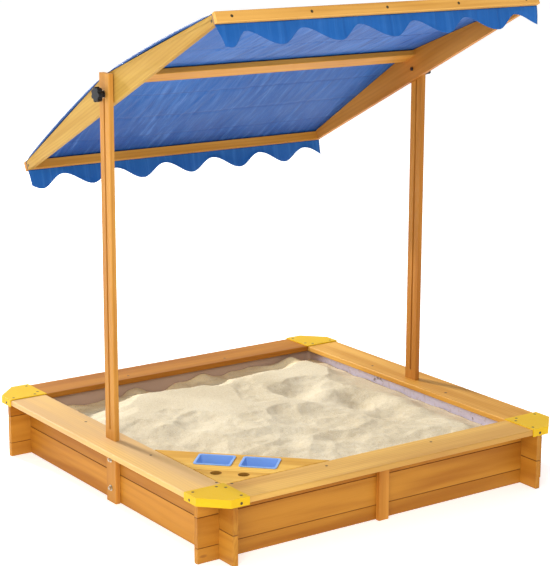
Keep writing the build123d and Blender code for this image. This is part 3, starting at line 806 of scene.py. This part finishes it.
def tarpaulin(name, base, shadow, rub_and_highlight):
    """Coated tape weave: glossy, with a fine grid of tapes and rub lines, painted highlights on its
    streaks, and painted shade in their dips, along its packing folds and down its lower slope.
    """
    material, start = new_finish(name)
    place = start.coordinates()
    turned = start.node("ShaderNodeMapping", None, {"Vector": place, "Rotation": (tilt, 0.0, 0.0)})
    x, s = turned.split()[:2]
    along = s + (pivot.z * math.sin(tilt) - pivot.y * math.cos(tilt))
    threads = 2 * math.pi / tape_width
    warp = start.maths("SINE", x * threads)
    weft = start.maths("SINE", s * threads)
    tapes = warp * weft
    sockets = {"Vector": turned, "Rotation": (0.0, 0.0, tape_slant)}
    slant = start.node("ShaderNodeMapping", None, sockets)
    drawn = slant.vector("MULTIPLY", (62.0, 5.5, 1.0)).cloud(1.0, 4.0, 0.65)
    dips = 1.0 - drawn.step(0.30, 0.48)
    drawn = drawn.step(0.46, 0.72)
    broad = slant.vector("MULTIPLY", (13.0, 2.0, 1.0)).cloud(1.0, 2.0).step(0.35, 0.65)
    patches = turned.cloud(3.2, 3.0)
    rub = turned.vector("MULTIPLY", (6.0, 60.0, 1.0)).cloud(1.0, 3.0, 0.6)
    colour = start.mix(patches.step(0.3, 0.7) * 0.5, base, shadow)
    # painted shade, deepening down the lower slope
    colour = start.mix(along.step(0.05, 0.50) * 0.55, colour, shadow)
    # painted shade in the dips between the streaks
    colour = start.mix(dips * (0.35 + broad * 0.45), colour, shadow)
    # painted highlights along the raised streaks
    colour = start.mix(drawn * (0.25 + broad * 0.45), colour, rub_and_highlight)
    colour = start.mix(rub.step(0.55, 0.85) * 0.12, colour, rub_and_highlight)
    # a painted shade line along each packing fold
    for line in fold_lines:
        away = start.maths("ABSOLUTE", along - line)
        colour = start.mix((1.0 - away.step(0.001, 0.005)) * 0.55, colour, shadow)
    hem = start.maths("ABSOLUTE", x).step(canopy_half - hem_width, canopy_half)
    colour = start.mix(hem * 0.6, colour, hem_shadow)
    colour = start.mix(tapes.step(-0.4, 1.0) * 0.10, colour, shadow)
    height = tapes * 0.05 + (drawn - dips) * 0.6 + rub * 0.35
    close_finish(
        start,
        {
            "Base Color": colour,
            "Roughness": 0.45 + patches * 0.12,
            "Normal": height.bump(0.7, 0.0014),
            "Specular IOR Level": 0.22,
        },
    )
    return material


outer_blue = (0.008, 0.108, 0.38, 1)
outer_shade = (0.004, 0.080, 0.31, 1)
outer_rub_and_highlight = (0.030, 0.155, 0.46, 1)
# the inside is a painted lit copy of the outside: lighter and bluer, as painted light shining through
# the sheet
inner_glow_blue = (0.010, 0.125, 0.46, 1)
inner_shade = (0.003, 0.050, 0.25, 1)
inner_rub_and_highlight = (0.085, 0.235, 0.62, 1)
outer_tarp = tarpaulin("tarpaulin_outside", outer_blue, outer_shade, outer_rub_and_highlight)
inner_tarp = tarpaulin("tarpaulin_inside", inner_glow_blue, inner_shade, inner_rub_and_highlight)
canopy.data.materials.append(outer_tarp)
canopy.data.materials.append(inner_tarp)
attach(canopy, "roof")
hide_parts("canopy")
slope_length = 2 * math.hypot(gable_end, gable_top - eave) + 2 * (flap_top - gable_foot)

# The valances: scalloped ends of the same sheet that hang free below the battens.
# Each hangs by its upper edge from a batten, and its cut edge flutters and curls a little.
scallop_mean = 0.038
scallop_swing = 0.0185
lean = math.radians(10.0)
hang = Vector((0, -math.sin(lean), -math.cos(lean)))
flutter_height = 0.0045
swing_height = 0.0025
curl_height = 0.016
curl_start = 0.75
drawn_reach = 0.11
valance_rows = 16
valance_columns = 420
# each end's first bottom, the scallops' pitch, how soon the edge rises after a bottom, and
# how far its left end is drawn in
cuts = {"front": (-0.490, 0.1725, 0.34, 0.026), "back": (-0.476, 0.171, 0.42, 0.008)}


def scallop(x, first, pitch, steep):
    """How far the cut edge hangs at x: it rises soon after each bottom and falls slowly."""
    turn = (x - first) / pitch % 1.0
    if turn < steep:
        return scallop_mean + scallop_swing * math.cos(math.pi * turn / steep)
    return scallop_mean - scallop_swing * math.cos(math.pi * (turn - steep) / (1 - steep))


for end, sign in (("front", -1), ("back", 1)):
    root_s = sign * (gable_end + cloth)
    first, pitch, steep, end_drawn = cuts[end]
    outwards = Vector((0, -math.cos(lean), math.sin(lean))) * (-sign)
    rows = []
    for r in range(valance_rows + 1):
        t = r / valance_rows
        row = []
        for c in range(valance_columns + 1):
            x = -canopy_half + 2 * canopy_half * c / valance_columns
            drop = scallop(x, first, pitch, steep) * t
            drawn_in = end_drawn * t * smooth(-x, canopy_half - drawn_reach, canopy_half)
            flutter = flutter_height * noise.noise(Vector((x * 6.5, sign * 3, t * 1.2)))
            flutter += swing_height * math.sin(2 * math.pi * (x - first) / pitch + 1.0)
            curl = curl_height * max(0.0, t - curl_start)
            curl *= noise.noise(Vector((x * 11, sign * 5, 0)))
            point = roof_point(x + drawn_in, root_s, gable_foot) + hang * drop
            point += outwards * (flutter * t + curl)
            row.append(point)
        rows.append(row)
    valance = grid_object(end + "_scalloped_valance", rows)
    thicken(valance, cloth)
    valance.data.materials.append(outer_tarp)
    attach(valance, "roof")
    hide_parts(end + "_valance")
    anchor = roof_point(0, root_s, gable_foot)
    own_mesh(valance)

# The studio: a plain pale floor that glows a little, under an even white sky.
# A clear light stands behind on the left, and a broad soft one fills in from the front.
floor_reach = 60.0
floor_corners = [(floor_reach * i, floor_reach * j, 0) for i, j in ((-1, -1), (1, -1), (1, 1), (-1, 1))]
floor_mesh = bpy.data.meshes.new("studio_floor")
floor_mesh.from_pydata(floor_corners, [], [(0, 1, 2, 3)])
floor = bpy.data.objects.new("studio_floor", floor_mesh)
bpy.context.collection.objects.link(floor)
material, start = new_finish("pale_floor")
close_finish(
    start,
    {
        "Base Color": (0.9, 0.9, 0.9, 1),
        "Roughness": 0.9,
        "Specular IOR Level": 0.0,
        "Emission Color": (1, 1, 1, 1),
        "Emission Strength": 0.52,
    },
)
floor_mesh.materials.append(material)

world = bpy.data.worlds.new("studio_air")
world.use_nodes = True
world.node_tree.nodes.clear()
air = Shade(world.node_tree)
height = air.coordinates("Generated").split()[2]
glow = 1.0 - height.step(0.05, 0.55) * 0.5
lit = air.node("ShaderNodeBackground", None, {"Color": (1, 1, 1, 1), "Strength": glow})
air.node("ShaderNodeOutputWorld", None, {"Surface": lit})
bpy.context.scene.world = world


def soft_light(name, place, aim, size, power):
    """A square area light that looks at a point."""
    lamp = bpy.data.lights.new(name, "AREA")
    lamp.size = size
    lamp.energy = power
    holder = bpy.data.objects.new(name, lamp)
    holder.location = place
    holder.rotation_euler = (Vector(aim) - Vector(place)).to_track_quat("-Z", "Y").to_euler()
    bpy.context.collection.objects.link(holder)


lit_point = (0, 0, 0.3)
soft_light("key_light", (-1.2, 5.6, 3.3), lit_point, size=0.8, power=520)
soft_light("fill_light", (-3.6, -3.8, 3.0), lit_point, size=2.5, power=130)

# The camera stands off the front left corner, a little above the roof, and looks down on it.
# Its long lens keeps the posts nearly upright, and it leans by a fifth of a degree.
camera_place = (-2.8636, -4.1169, 1.7302)
view_yaw = math.radians(34.95)
view_pitch = math.radians(13.28)
view_roll = math.radians(0.19)
sensor_size = 36.0
lens_length = 115.5756
camera = bpy.data.cameras.new("studio_camera")
camera.sensor_width = sensor_size
camera.lens = lens_length
camera.dof.use_dof = False
camera.clip_end = 200.0
stand = bpy.data.objects.new("studio_camera", camera)
look = Vector(
    (
        math.sin(view_yaw) * math.cos(view_pitch),
        math.cos(view_yaw) * math.cos(view_pitch),
        -math.sin(view_pitch),
    )
)
sideways = Vector((math.cos(view_yaw), -math.sin(view_yaw), 0))
upwards = sideways.cross(look)
rolled_side = sideways * math.cos(view_roll) + upwards * math.sin(view_roll)
rolled_up = upwards * math.cos(view_roll) - sideways * math.sin(view_roll)
facing = Matrix((rolled_side, rolled_up, -look)).transposed().to_4x4()
stand.matrix_world = Matrix.Translation(camera_place) @ facing
bpy.context.collection.objects.link(stand)
bpy.context.scene.camera = stand
bpy.context.scene.view_settings.view_transform = "Standard"
